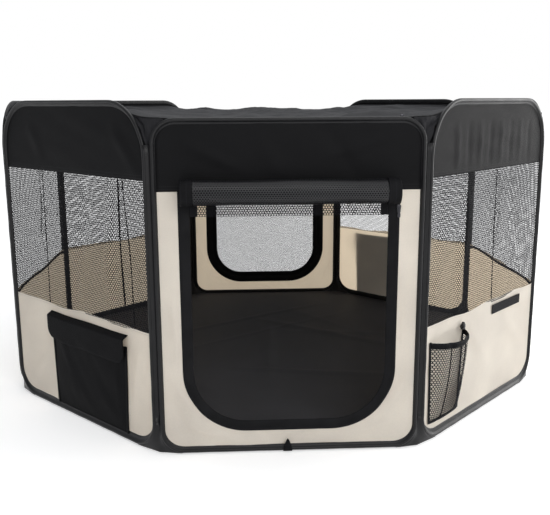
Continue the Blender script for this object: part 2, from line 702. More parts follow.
class PLAYPEN_OT_bindings(bpy.types.Operator):
    """Edge binding of each panel, over its wire hoop"""

    bl_idname = "playpen.bindings"
    bl_label = "Edge bindings"

    def execute(self, context):
        for n, panel in enumerate(PANELS):
            path, inward = panel_rim(panel)
            along = running(path)
            swell = 0.00035 * sin(along * TURN / 0.061 + n) * sin(along * TURN / 0.23)
            profile = binding_profile(panel, context.scene.playpen_sizes.binding_width)
            obj = swept(panel + "_edge_tape", panel, path, inward, profile, "binding", True, swell,
                        self.extra(panel, path))
            dress(obj, panel, "black_binding", panel + "_binding")
            wire = frame["nodes"][panel + "_hoop"].data
            wire.materials.clear()
            wire.materials.append(finish_named("wire"))
        return {"FINISHED"}

    def extra(self, panel, path):
        """The tape is pulled narrow up the sides, and spreads along the sill where the floor is sewn in."""
        low = clip(1 - path[:, 1] / 0.05, 0, 1)
        high = clip((path[:, 1] - MEASURED[panel]["height"] + 0.05) / 0.05, 0, 1)
        return -0.0031 + 0.0031 * high ** 2 + (0.0035 if panel in DOORS else 0.0085) * low ** 1.5


HEADER_CREASES = {
    "front": [((0.05, 0.57), (0.16, 0.52), 0.0016, 0.010), ((0.30, 0.60), (0.36, 0.50), -0.0014, 0.012),
              ((0.42, 0.58), (0.30, 0.54), 0.0012, 0.009), ((0.18, 0.59), (0.23, 0.50), 0.0010, 0.014)],
    "right_front": [((x, 0.60), (x, 0.505), depth, 0.007)
                    for x, depth in ((0.10 + 0.043 * k, 0.0009 * (-1) ** k) for k in range(8))],
    "left_front": [((0.38, 0.60), (0.46, 0.50), 0.0012, 0.012), ((0.10, 0.60), (0.15, 0.52), 0.001, 0.014)],
}


class PLAYPEN_OT_headers(bpy.types.Operator):
    """Black band along the top of each panel"""

    bl_idname = "playpen.headers"
    bl_label = "Header bands"

    def execute(self, context):
        for n, panel in enumerate(PANELS):
            m = MEASURED[panel]
            slack = context.scene.playpen_sizes.slack * 0.45
            panel_cloth(panel, "header_cloth", "header", "black_cloth", m["header_bottom"], m["height"],
                        m["cloth"] + 0.0005, "black_cloth", 11 + n, slack, "bottom", HEADER_CREASES.get(panel, ()),
                        thick=0.0006)
        return {"FINISHED"}


class PLAYPEN_OT_windows(bpy.types.Operator):
    """Net windows of the six plain panels, each with its sewn vertical fold"""

    bl_idname = "playpen.windows"
    bl_label = "Windows"

    folds = {"right_front": 0.13, "right_middle": 0.27, "right_back": 0.30,
             "left_back": 0.285, "left_middle": 0.20, "left_front": 0.36}

    def execute(self, context):
        for n, (panel, fold) in enumerate(self.folds.items()):
            m = MEASURED[panel]
            low, high = m["skirt_top"], m["header_bottom"]
            lines = [((fold, low), (fold + 0.006, high), 0.004, 0.012),
                     ((fold - 0.13, low), (fold - 0.06, high), -0.003, 0.02)]
            panel_cloth(panel, "net", "window", "black_mesh", low - 0.006, high + 0.005, m["cloth"] - 0.0006,
                        "window_net", 31 + n, context.scene.playpen_sizes.slack * 1.5, "bottom", lines)
        return {"FINISHED"}


SKIRT_CREASES = {
    "left_front": [((0.03, 0.17), (0.11, 0.20), 0.0016, 0.008), ((0.44, 0.20), (0.41, 0.06), 0.0016, 0.010),
                   ((0.06, 0.05), (0.14, 0.13), 0.0012, 0.010)],
    "right_front": [((0.18, 0.19), (0.27, 0.08), 0.0012, 0.014), ((0.33, 0.17), (0.44, 0.10), 0.001, 0.012),
                    ((0.15, 0.21), (0.20, 0.14), -0.0012, 0.009), ((0.05, 0.20), (0.16, 0.22), 0.0012, 0.008)],
    "right_back": [((0.05, 0.20), (0.12, 0.05), 0.0018, 0.012)],
    "left_back": [((0.285, 0.23), (0.287, 0.01), 0.0016, 0.004), ((0.30, 0.2), (0.42, 0.05), 0.0016, 0.012)],
}
DOOR_CREASES = [
    ((0.020, 0.15), (0.075, 0.060), 0.0014, 0.007), ((0.045, 0.055), (0.115, 0.030), 0.0012, 0.006),
    ((0.018, 0.11), (0.060, 0.030), -0.0010, 0.006), ((0.03, 0.30), (0.036, 0.18), 0.0008, 0.006)]


def door_ring(panel, radius, lap, inset, steps=26):
    """Cloth between a door's border, which laps over it, and the panel's rim: points run down one side,
    round and up the other. At each height, angle about the door's corner centre, or x, the door's edge is
    paired with the rim it faces."""
    m = MEASURED[panel]
    margin, sill, g, r = ZIP_LOW[0], ZIP_LOW[2], m["gap"], m["low_r"]
    centre = array([margin + radius, sill + radius])
    z = linspace(m["header_bottom"] + 0.002, centre[1], steps, endpoint=False)
    d = quarter(180, steps)
    with np.errstate(divide="ignore"):
        reach = minimum((centre[0] - g - inset) / abs(d[:, 0]),
                           (centre[1] - inset) / maximum(abs(d[:, 1]), 1e-9))
    hit, offset = centre + reach[:, None] * d, centre - (g + r, r)
    b = d @ offset
    round_reach = -b + sqrt(maximum(b * b - offset @ offset + (r - inset) ** 2, 0))
    reach = where((hit[:, 0] < g + r) & (hit[:, 1] < r), round_reach, reach)
    x = linspace(centre[0], WIDTH / 2, steps)
    near = concatenate([stack([0 * z + margin + lap, z], -1), centre + (radius - lap) * d,
                           stack([x, 0 * x + sill + lap], -1)])
    far = concatenate([stack([side_x(panel, z, inset), z], -1), centre + reach[:, None] * d,
                          stack([x, 0 * x + inset], -1)])
    return with_mirror(near, WIDTH), with_mirror(far, WIDTH)


class PLAYPEN_OT_skirts(bpy.types.Operator):
    """Beige cloth: skirts of the plain panels, and the surrounds of the two doors"""

    bl_idname = "playpen.skirts"
    bl_label = "Skirts and door surrounds"

    def execute(self, context):
        s = context.scene.playpen_sizes
        for n, panel in enumerate(PANELS):
            m = MEASURED[panel]
            if panel in DOORS:
                self.surround(panel, s, 71 + n)
            else:
                panel_cloth(panel, "skirt_cloth", "skirt", "beige_cloth", 0.0, m["skirt_top"],
                            m["cloth"] + 0.0003, "beige_cloth", 51 + n, s.slack * 0.8, "top",
                            SKIRT_CREASES.get(panel, ()), wavy=0.0026)
        return {"FINISHED"}

    def surround(self, panel, s, seed):
        """The strip round a door: a straight blend from the door's edge to the rim, with creases at its
        corners."""
        near, far = door_ring(panel, s.door_corner, 0.004, 0.008)
        t = linspace(0, 1, 14)
        x, z = (near[:, k, None] + t * (far - near)[:, k, None] for k in (0, 1))
        swell = slack_waves(linspace(0, 1, len(near))[:, None], t, seed, s.slack * 0.35, 6, (4.0, 0.5))
        for start, end, depth, width in DOOR_CREASES:
            swell = swell + crease(x, z, start, end, depth * 2.8, width)
            swell = swell + crease(WIDTH - x, z, start, end, depth * 2.4, width)
        if panel == "back":
            for seam in (0.155, 0.325):
                swell = swell - crease(x, z, (seam, 0.0), (seam, 0.05), 0.0012, 0.0016)
            swell = swell + crease(x, z, (0.20, 0.012), (0.30, 0.034), 0.001, 0.004)
        width, along = np.hypot(*(far - near).T), running((near + far) / 2)
        obj = surface(panel + "_skirt_cloth", stand(panel, x, MEASURED[panel]["cloth"] + 0.0003 + swell, z),
                      "beige_cloth", (along[:, None], width[:, None] * t))
        dress(obj, panel, "beige_cloth", panel + "_skirt")


class PLAYPEN_OT_inner_seams(bpy.types.Operator):
    """Sewn pleats up the far panels, and the tape along the inside of the side skirts' tops"""

    bl_idname = "playpen.inner_seams"
    bl_label = "Inner seams"

    pleats = (("left_back", 0.285, 0.293), ("left_middle", 0.205, 0.190), ("right_back", 0.215, 0.205),
              ("right_middle", 0.262, 0.275), ("left_front", 0.425, 0.405))

    def execute(self, context):
        for panel, low_x, high_x in self.pleats:
            m = MEASURED[panel]
            low, half = (m["skirt_top"] - 0.004, 0.0012) if panel == "left_front" else (0.02, 0.0028)
            t = linspace(0, 1, 40)
            x = low_x + (high_x - low_x) * t + 0.0022 * sin(7 * t + low_x * 40)
            z, half_w = linspace(low, m["header_bottom"] + 0.004, 40), half * (1 + 0.2 * sin(13 * t))
            obj = stacked(panel + "_pleat", panel, x, m["cloth"] - 0.0026, z, half_w, 0.0006, "strap")
            dress(obj, panel, "black_mesh")
        for panel in ("left_middle", "right_middle"):
            self.tape(panel)
        return {"FINISHED"}

    def tape(self, panel):
        """A thin flat section carried along the skirt's top, dipping a little at both ends."""
        m = MEASURED[panel]
        x = linspace(0.011, WIDTH - 0.011, 60)
        z = m["skirt_top"] - 0.003 + 0.002 * sin(10 * x / WIDTH) - 0.010 * abs(2 * x / WIDTH - 1) ** 8
        path = stack([x, z], -1)
        lean = np.gradient(path, axis=0)
        lean /= np.linalg.norm(lean, axis=1)[:, None]
        profile = array([[-0.003, -0.0017], [0.003, -0.0017], [0.0034, -0.0012], [0.003, -0.0007],
                            [-0.003, -0.0007], [-0.0034, -0.0012]]) + (0, m["cloth"])
        inward = stack([-lean[:, 1], lean[:, 0]], -1)
        obj = swept(panel + "_skirt_tape", panel, path, inward, profile, "strap")
        dress(obj, panel, "black_binding")


class PLAYPEN_OT_corner_joins(bpy.types.Operator):
    """Tape that joins neighbouring panels' edges, and the gusset above it that closes the notch under the
    top"""

    bl_idname = "playpen.corner_joins"
    bl_label = "Corner joins"

    section = array([
        (-1, 0.0058, 0.0088), (-0.8, 0.0036, 0.0078), (-0.55, 0.0018, 0.0056), (-0.25, 0.0006, 0.0030),
        (0, 0.0, 0.0016),
        (0.25, 0.0006, 0.0030), (0.55, 0.0018, 0.0056), (0.8, 0.0036, 0.0078), (1, 0.0058, 0.0088)])

    def execute(self, context):
        for n, panel in enumerate(PANELS):
            before = PANELS[n - 1]
            sides = [(-1.0, 1.0, "")] if panel != OPEN_SEAM else [(-1.0, 0.0, "_near"), (0.0, 1.0, "_far")]
            for start, end, tag in sides:
                self.strip(before, panel, start, end, tag)
                self.gusset(before, panel, start, end, tag, n)
        return {"FINISHED"}

    def attach(self, obj, before, panel, start, end, slot):
        """Bends the piece across the fold, or lets each half ride its own panel where the ring's seam is
        open."""
        if end - start > 1.5:
            a, b = stand(before, WIDTH - 0.004, 0.003, 0.3), stand(panel, 0.004, 0.003, 0.3)
            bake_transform(obj)
        else:
            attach(obj, (before if start < 0 else panel) + "_panel")

    def joined(self, left, right, across):
        """One grid from two: the left panel's points, then the right panel's, with their mean on the fold
        line."""
        points = where((across < 0)[None, :, None], left, right)
        middle = abs(across) < 1e-9
        points[:, middle] = (left[:, middle] + right[:, middle]) / 2
        return points

    def strip(self, before, panel, start, end, tag):
        """A closed flat section that dips between the two beads, carried up the seam."""
        section = self.section[(self.section[:, 0] >= start) & (self.section[:, 0] <= end)]
        m = MEASURED[PANELS[1]]
        z = np.unique(concatenate([0.0006 + 0.0594 * linspace(0, 1, 14) ** 2,
                                      linspace(0.06, m["height"] - m["top_r"] + 0.024, 36)]))[:, None]
        across, x, out = concatenate([section, section[::-1] - array([0, 0, 0.0012])]).T
        left, right = (x + abs(across) * 0.98 * maximum(
            side_x(side, minimum(z, 0.3), 0.0) - MEASURED[side]["gap"], 0.0) for side in (before, panel))
        points = self.joined(stand(before, WIDTH - left, out, z), stand(panel, right, out, z), across)
        obj = surface(panel + "_corner_tape" + tag, points, "binding", (z, closing(across[None, :]) * 0.005),
                      wrap=(False, True), ends=2)
        self.attach(obj, before, panel, start, end, "black_binding")

    def gusset(self, before, panel, start, end, tag, seed):
        """Between the round corners and the cover's edge: x grows from the fold line, the lower edge
        follows the corner's circle, the upper edge follows the cover, and crumples run down into the
        notch."""
        u = linspace(start, end, 17 if end - start > 1.5 else 9)[None, :]
        v = linspace(0, 1, 14)[:, None]
        foot = min(MEASURED[side]["height"] - MEASURED[side]["top_r"] for side in (before, panel)) - 0.004
        wave = 0.0028 * sin(9 * u + 5 * v + seed) * sin(math.pi * v)
        wave = wave + 0.0016 * sin(23 * u - 4 * v + 2 * seed)
        hollow = -0.006 * (1 - abs(u)) * sin(math.pi * v * 0.9)
        built = []
        for side in (before, panel):
            m = MEASURED[side]
            zc = m["height"] - m["top_r"]
            x = abs(u) * float(side_x(side, array(cover_height(side)), 0.0) + 0.006)
            drop = clip(1 - (x - m["gap"]) / m["top_r"], 0, 1)
            low = zc + m["top_r"] * sqrt(clip(1 - drop ** 2, 0, 1)) - 0.004
            low = low - maximum(zc - foot, 0) * (1 - abs(u)) ** 2
            high = maximum(cover_edge(side, x), low + 0.0008)
            out = m["cloth"] * abs(u) ** 0.5 + (wave + hollow) * (1 - abs(u) ** 4)
            built.append(stand(side, WIDTH - x if side == before else x, out, low + v * (high - low)))
        points = self.joined(*built, u[0])
        obj = surface(panel + "_gusset" + tag, points, "grey_cloth", (u * 0.05, v * 0.06), thick=0.0006)
        self.attach(obj, before, panel, start, end, "grey_cloth")


# ---- doors --------------------------------------------------------------------------------------


def door_path(inset, radius, run=40, turn=26):
    """The zip border's outer edge moved inwards by inset: down the left side, round, along the sill, and
    up."""
    x0, x1, z0 = ZIP_LOW[0], ZIP_HIGH[0], ZIP_LOW[2]
    down = linspace(ZIP_HIGH[2], z0 + radius, run, endpoint=False)
    sill = linspace(x0 + radius, (x0 + x1) / 2, run)
    arc = quarter(180, turn)
    path = concatenate([stack([0 * down + x0, down], -1), [x0 + radius, z0 + radius] + radius * arc,
                           stack([sill, 0 * sill + z0], -1)])
    inward = concatenate([tile([1.0, 0.0], (run, 1)), -arc, tile([0.0, 1.0], (run, 1))])
    path, inward = with_mirror(path, x0 + x1), with_mirror(inward, 0.0)
    return path + inset * inward, inward


def tape_profile(width, low, high, ridge):
    """Closed flat section: ridge stands proud of the tape near its outer edge."""
    w, e = width, 0.0004
    return array([[e, low], [w - e, low], [w, low + e], [w, high - 0.0012], [w - e, high - 0.0008],
                     [0.0062, high - 0.0008], [0.0050, high - 0.0002], [0.0036, high + ridge], [0.0016, high + ridge],
                     [0.0006, high - 0.0004], [0.0, high - 0.0010], [0.0, low + e]])


class PLAYPEN_OT_zip_borders(bpy.types.Operator):
    """Zip tape around both doors, and the bound edge of the shut door"""

    bl_idname = "playpen.zip_borders"
    bl_label = "Zip borders"

    def execute(self, context):
        s = context.scene.playpen_sizes
        for panel in DOORS:
            profile = tape_profile(s.zip_width, ZIP_LOW[1], ZIP_HIGH[1], 0.0001)
            obj = swept(panel + "_zip_tape", panel, *door_path(0.0, s.door_corner), profile, "zip_tape")
            dress(obj, panel, "zip_tape", panel + "_zip_border")
        low, high = panel_box("back_door_edging", "back")
        profile = tape_profile(s.edging_width, low[1], high[1], -0.0004)
        obj = swept("back_leaf_edging", "back", *door_path(s.zip_width, s.door_corner), profile, "strap")
        dress(obj, "back", "black_binding", "back_door_edging")
        return {"FINISHED"}


class PLAYPEN_OT_back_door(bpy.types.Operator):
    """Net of the shut back door"""

    bl_idname = "playpen.back_door"
    bl_label = "Back door"

    def execute(self, context):
        s = context.scene.playpen_sizes
        low, high = panel_box("back_door_mesh", "back")
        radius = s.door_corner - s.zip_width - s.edging_width
        arc = radius * (1 - cos(linspace(0, math.pi / 2, 16)))
        z = np.unique(np.round(concatenate([low[2] + arc, linspace(low[2] + radius, high[2], 30)]), 5))[:, None]
        depth = clip((radius - (z - low[2])) / radius, 0, 1)
        left = low[0] + radius * (1 - sqrt(1 - depth ** 2)) - 0.003
        u, v = linspace(0, 1, 60)[None, :], (z - z[0]) / (z[-1] - z[0])
        x = left + u * (WIDTH - 2 * left)
        points = stand("back", x, (low[1] + high[1]) / 2 + slack_waves(u, v, 5, 0.0022), z)
        obj = surface("back_door_net", points, "door_net", (x, z))
        dress(obj, "back", "black_mesh", "back_door_mesh")
        return {"FINISHED"}


class PLAYPEN_OT_front_door(bpy.types.Operator):
    """Front door, rolled up: its net curtain, its bound edges, and the roll"""

    bl_idname = "playpen.front_door"
    bl_label = "Front door"

    def execute(self, context):
        s = context.scene.playpen_sizes
        low, high = panel_box("front_door_curtain", "front")
        mid, edge = (low[1] + high[1]) / 2, s.edging_width
        top, bottom = high[2] + 0.004, low[2] - 0.004
        a, b = stand("front", 0.24, mid, top - 0.002), stand("front", 0.24, mid, bottom + 0.002)
        for name, x0, x1, net in (("front_curtain_net", low[0] + edge - 0.002, high[0] - edge + 0.002, True),
                                  ("front_leaf_edge_left", low[0], low[0] + edge, False),
                                  ("front_leaf_edge_right", high[0] - edge, high[0], False)):
            x = x0 + linspace(0, 1, 60 if net else 5)[None, :] * (x1 - x0)
            z = linspace(bottom, top, 40)[:, None]
            obj = surface(name, stand("front", x, mid, z), "curtain_net" if net else "strap", (z, x - x0),
                          thick=0.0 if net else 0.0008)
            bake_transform(obj)
            if net:
                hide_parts("front_door_curtain")
        self.roll(ZIP_HIGH[2] - ZIP_LOW[2] - s.zip_width)
        return {"FINISHED"}

    def roll(self, leaf, band=0.022, pitch=0.0019):
        """A spiral in the plane across the roll, whose radius falls by one cloth per turn, carried
        along x."""
        low, high = panel_box("front_door_roll", "front")
        radius, zc, oc = (high[2] - low[2]) / 2, (low[2] + high[2]) / 2, (low[1] + high[1]) / 2
        for name, x0, x1, net in (("front_roll_net", low[0] + band - 0.001, high[0] - band + 0.001, True),
                                  ("front_roll_edge_left", low[0], low[0] + band, False),
                                  ("front_roll_edge_right", high[0] - band, high[0], False)):
            r0, thick = (radius - 0.0012, 0.0) if net else (radius, 0.0009)
            turns = (r0 - math.sqrt(r0 * r0 - pitch * leaf / math.pi)) / pitch
            phi = linspace(0, TURN * turns, 190)[:, None]
            x = linspace(x0, x1, 90 if net else 8)[None, :]
            uneven = 0.0004 * sin(3 * phi + 14 * x) + 0.0005 * sin(2 * phi - 31 * x + 1)
            r = r0 - thick / 2 - pitch * phi / TURN - 0.0006 + uneven * net
            angle = math.radians(158) - phi
            obj = surface(name, stand("front", x, oc + r * cos(angle), zc + r * sin(angle)),
                          "roll_net" if net else "strap", (x, phi * r0) if net else (phi * r0, x - x0),
                          thick=thick, flip=True)
            dress(obj, "front_roll", "black_mesh" if net else "black_binding", *["front_door_roll"] * net)
        self.core(low[0] + 0.024, high[0] - 0.024, oc, zc, radius - 0.0046)

    def core(self, x0, x1, oc, zc, r):
        """The turns inside the net seen as one lapped body: a tube whose skin rises at each lap."""
        x, angle = linspace(x0, x1, 60)[:, None], circle(72)[None, :]
        rr = r - 0.0012 * ((angle / TURN * 3) % 1.0) + 0.0004 * sin(40 * x + 2 * angle)
        obj = surface("front_roll_core", stand("front", x, oc + rr * cos(angle), zc + rr * sin(angle)),
                      "pocket_cloth", (x, linspace(0, TURN, 73) * r + 0.02), wrap=(False, True), ends=2,
                      flip=True)
        dress(obj, "front_roll", "black_mesh")


class PLAYPEN_OT_sliders(bpy.types.Operator):
    """Zip sliders with their pulls"""

    bl_idname = "playpen.sliders"
    bl_label = "Zip sliders"

    def execute(self, context):
        for panel in DOORS:
            self.upright(panel, *panel_box(panel + "_zip_slider", panel))
        low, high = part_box("top_cover_slider")
        z = low.z + (high.z - low.z) * array([0, 0.04, 0.2, 0.34, 0.4, 0.45, 0.8, 0.96, 1.0])
        w = array([5.6, 6.4, 6.6, 5.4, 1.6, 3.0, 3.4, 3.0, 2.2]) / 1000
        d = array([1.6, 2.0, 2.1, 1.8, 0.9, 0.8, 0.8, 0.8, 0.5]) / 1000
        x, out = (low.x + high.x) / 2 + WIDTH / 2, MID_Y - (low.y + high.y) / 2 - APOTHEM
        obj = stacked("top_slider", "front", x, out, z, w, d, "slider_metal", 3.2)
        dress(obj, "top_slider", "slider_metal", "top_cover_slider")
        return {"FINISHED"}

    def upright(self, panel, low, high):
        """Body: wide shoulders, a waist and a flat tail. Pull: a round eye, a neck and a long tongue."""
        x = (low[0] + high[0]) / 2
        half, body = (high[0] - low[0]) / 2, high[2] - 0.014
        z = body + 0.014 * array([0.0, 0.05, 0.25, 0.5, 0.75, 0.93, 1.0])
        w = half * array([0.62, 0.78, 0.80, 0.86, 0.98, 0.92, 0.7])
        d = 0.0016 * array([0.5, 0.8, 0.9, 0.9, 1.0, 0.85, 0.5])
        obj = stacked(panel + "_slider_body", panel, x, low[1] + 0.0016, z, w, d, "slider_metal", 3.4)
        dress(obj, panel + "_slider", "slider_metal", panel + "_zip_slider")
        top = body + 0.010
        z = linspace(low[2], top, 22)
        t = (top - z) / (top - low[2])
        w = 0.0012 + 0.0014 * exp(-(((t - 0.12) / 0.10) ** 2)) + 0.0016 * clip((t - 0.3) / 0.4, 0, 1)
        w = w * sqrt(clip(1 - ((t - 0.5) / 0.503) ** 8, 0.02, 1))
        obj = stacked(panel + "_slider_pull", panel, x, high[1] + 0.0004, z, w, 0.0007, "slider_metal", 3.0)
        dress(obj, panel + "_slider", "slider_metal")


# ---- top and floor ------------------------------------------------------------------------------


def cover_height(panel):
    """Height at which the top cover meets a panel: just under the hoop."""
    return MEASURED[panel]["height"] - (0.008 if panel in DOORS else 0.017)


def cover_edge(panel, x):
    """Height of the cover's edge at x from a seam: it climbs smoothly from the shared corner to the panel's
    own."""
    corner = (cover_height("front") + cover_height("right_front")) / 2 - 0.004
    t = clip(x / 0.10, 0, 1)
    return corner + (cover_height(panel) - corner) * t * t * (3 - 2 * t)


def ring_reach(angle, grow):
    """Distance from the middle to the octagon at an angle: the apothem over the cosine within one eighth,
    less a little near each corner, where the cloth is cut round."""
    off = (angle + EIGHTH / 2) % EIGHTH - EIGHTH / 2
    corner = WIDTH / 2 - APOTHEM * abs(tan(off))
    return (APOTHEM + grow) / cos(off) - 0.006 * exp(-((corner / 0.018) ** 2))


def edge_height(angle):
    """The cover's edge height at an angle round the ring, counted from the front panel's middle,
    counterclockwise."""
    eighth = np.round(angle / EIGHTH)
    x = WIDTH / 2 - abs(APOTHEM * tan(angle - eighth * EIGHTH))
    at_door = array([panel in DOORS for panel in PANELS])[eighth.astype(int) % 8]
    return where(at_door, cover_edge("front", x), cover_edge("right_front", x))


def ring_points(angle, radius, z):
    """Angle from the front, counterclockwise seen from above, to the row frame."""
    return stack(np.broadcast_arrays(radius * sin(angle), MID_Y - radius * cos(angle), z), -1)


def ring_disc(count, grow):
    """Rings of points from the middle to the octagon: share of the way out, angle, and x and y from the
    middle."""
    angle, t = circle(count)[None, :], concatenate([[0.004], linspace(0.03, 1.0, 70)])[:, None]
    radius = t * ring_reach(angle, grow)
    return t, angle, radius * sin(angle), -radius * cos(angle)


def fold_with_ring(obj):
    """Flattens towards the front panel as the ring is squeezed flat."""
    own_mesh(obj)


class PLAYPEN_OT_top(bpy.types.Operator):
    """Top cover: a crumpled octagon of cloth inside its zip tape"""

    bl_idname = "playpen.top"
    bl_label = "Top cover"

    def execute(self, context):
        t, angle, px, py = ring_disc(256, -0.006)
        z = self.cloth_height(px, py, t, angle, context.scene.playpen_sizes.crumple)
        obj = surface("top_cloth", stack([px, py + MID_Y, z], -1), "grey_cloth", (closing(px), closing(py)),
                      wrap=(False, True), ends=1, flip=True)
        dress(obj, "top", "grey_cloth", "top_cover")
        fold_with_ring(obj)
        self.tape()
        return {"FINISHED"}

    def cloth_height(self, px, py, t, angle, crumple):
        """The edge's height at the rim, a low crown inside, and seeded folds in many directions with sharp
        crests."""
        rng = np.random.default_rng(8)
        crown = COVER_Z + 0.009 + 0.004 * cos(3 * px) * cos(2 * py)
        folds = np.zeros(px.shape)
        for k in range(16):
            a, freq, phase = rng.uniform(0, math.pi), rng.uniform(6, 42), rng.uniform(0, 6.28)
            wave = sin(freq * (px * math.cos(a) + py * math.sin(a)) + phase + 0.8 * sin(5 * px - 3 * py + k))
            folds += (1 - abs(wave) ** 0.8) * 9 / (freq + 6)
        folds -= folds.mean()
        return crown + (edge_height(angle) - crown) * t ** 5 + crumple * folds * clip((1 - t) * 16, 0, 1) ** 0.7

    def tape(self):
        """A flat closed section carried round the ring at the cover's edge, its coil towards the panels."""
        angle = circle(256)[:, None]
        inset, rise = array([[0.0115, 0.0], [0.0, -0.0008], [0.0002, 0.0016], [0.0026, 0.0020], [0.0044, 0.0011],
                                [0.0113, 0.0009]]).T
        points = ring_points(angle, ring_reach(angle, 0.0024 - inset), edge_height(angle) + rise)
        run = np.append(angle, TURN)[:, None] * APOTHEM
        obj = surface("top_zip_tape", points, "cover_zip", (run, closing(inset[None, :])), wrap=(True, True),
                      flip=True)
        dress(obj, "top", "zip_tape", "top_cover_zip")
        fold_with_ring(obj)


class PLAYPEN_OT_floor_mat(bpy.types.Operator):
    """Floor mat with the soft folds of a sheet that has been packed away"""

    bl_idname = "playpen.floor_mat"
    bl_label = "Floor mat"

    def execute(self, context):
        t, angle, px, py = ring_disc(192, 0.0025)
        rng = np.random.default_rng(4)
        lift = np.zeros(px.shape)
        for _ in range(12):
            a, b = rng.uniform(-0.5, 0.5, 2), rng.uniform(-0.5, 0.5, 2)
            lift += crease(px, py, a, b, rng.uniform(0.001, 0.0032), rng.uniform(0.006, 0.016))
        lift += 0.0006 * sin(9 * px + 4 * py) * sin(7 * py - 3 * px)
        top = MAT_HIGH.z - 0.0012 + clip(lift, -0.001, 0.004) * clip((1 - t) * 12, 0, 1)
        under = slice(None, None, -12)
        inner = stack([px[under], py[under] + MID_Y, 0 * px[under] + 0.0002], -1)
        points = concatenate([stack([px, py + MID_Y, top], -1),
                                 ring_points(angle, ring_reach(angle, 0.0031), MAT_HIGH.z - 0.0022),
                                 ring_points(angle, ring_reach(angle, 0.0025), 0.0002), inner[1:]])
        uv = [closing(concatenate([a, a[-1:], a[-1:], a[under][1:]])) for a in (px, py)]
        obj = surface("mat_cloth", points, "mat_cloth", uv, wrap=(False, True), ends=2, flip=True)
        dress(obj, "front", "mat_cloth", "floor_mat")
        fold_with_ring(obj)
        return {"FINISHED"}


# ---- pockets and small parts --------------------------------------------------------------------


class PLAYPEN_OT_flap_pockets(bpy.types.Operator):
    """Two flat pockets, each with a flap that lifts"""

    bl_idname = "playpen.flap_pockets"
    bl_label = "Flap pockets"

    def execute(self, context):
        for panel, side in (("left_front", "left"), ("right_back", "right")):
            root = panel_points(panel + "_pocket", panel)
            self.pouch(panel, root[root[:, 2] < root[:, 2].max() - 0.006])
            self.flap(panel, side, root[root[:, 2] > root[:, 2].max() - 0.001][:, 1].min())
        return {"FINISHED"}

    def pouch(self, panel, body):
        """A front that swells from three sewn sides: its depth is a flattened dome, and the mouth hangs a
        little open. Its side edges are bound by a rounded strip."""
        low, high = body.min(0), body.max(0)
        u, v = linspace(0, 1, 60)[None, :], linspace(0, 1, 50)[:, None]
        dome = (1 - abs(2 * u - 1) ** 5) * (1 - (1 - v) ** 6)
        taper = 0.006 * (1 - v)
        x = low[0] + taper + u * (high[0] - low[0] - 2 * taper)
        z = low[2] + v * (high[2] - low[2]) - 0.003 * sin(math.pi * u) * v ** 4
        out = low[1] + 0.0006 + (high[1] - low[1] - 0.0022) * dome * (0.72 + 0.28 * v)
        out = out + slack_waves(u, v, 92, 0.0016, 8)
        out = out + crease(x, z, (high[0] - 0.02, low[2]), (high[0] - 0.03, high[2]), 0.001, 0.008)
        out = out + crease(x, z, (low[0] + 0.02, high[2]), (low[0] + 0.09, low[2] + 0.04), 0.0014, 0.012)
        obj = surface(panel + "_pouch", stand(panel, x, out, z), "pocket_cloth", (x, high[2] - z), thick=0.0009)
        dress(obj, panel, "black_cloth", panel + "_pocket")
        z = linspace(low[2], high[2] - 0.001, 24)
        taper = 0.006 * (1 - (z - low[2]) / (high[2] - low[2]))
        for x, tag in ((low[0] + taper, "left"), (high[0] - taper, "right")):
            obj = stacked(f"{panel}_pouch_side_{tag}", panel, x, low[1] + 0.0014, z, 0.0032, 0.0015, "strap")
            dress(obj, panel, "black_cloth")

    def flap(self, panel, side, root_out, r=0.022):
        """Cloth sewn along its top, bent over the pouch and hanging with round lower corners: at each
        height the half width is cut by the corner's circle."""
        low, high = panel_box(panel + "_pocket_flap", panel)
        drop, mid = high[2] - low[2], (low[0] + high[0]) / 2
        u, v = linspace(-1, 1, 60)[None, :], linspace(0, 1, 34)[:, None]
        z_flat = high[2] - drop * v
        cut = clip((low[2] + r - z_flat) / r, 0, 1)
        x = mid + u * ((high[0] - low[0]) / 2 - 0.001 - r * (1 - sqrt(1 - cut ** 2)))
        sag = -0.002 * cos(u * math.pi / 2) + 0.0014 * sin(5 * u + 1)
        bend = clip(v / 0.14, 0, 1)
        bend = bend * bend * (3 - 2 * bend)
        waves = slack_waves((u + 1) / 2, 0.5 * v + 0.02, 17, 0.0012)
        out = root_out + (high[1] - root_out - 0.0005) * bend + abs(waves) * 0.6 * v
        out = out + 0.0006 * sin(8 * u) * v ** 2
        points = stand(panel, x, out, z_flat + sag * (0.4 + 0.6 * v))
        obj = surface(panel + "_flap_cloth", points, "pocket_cloth", (x, drop * (1 - v)), thick=0.0011, flip=True)
        a, b = stand(panel, mid, root_out, high[2] + 0.0005), stand(panel, mid, root_out, high[2] - 0.006)
        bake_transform(obj)
        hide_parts(panel + "_pocket_flap")


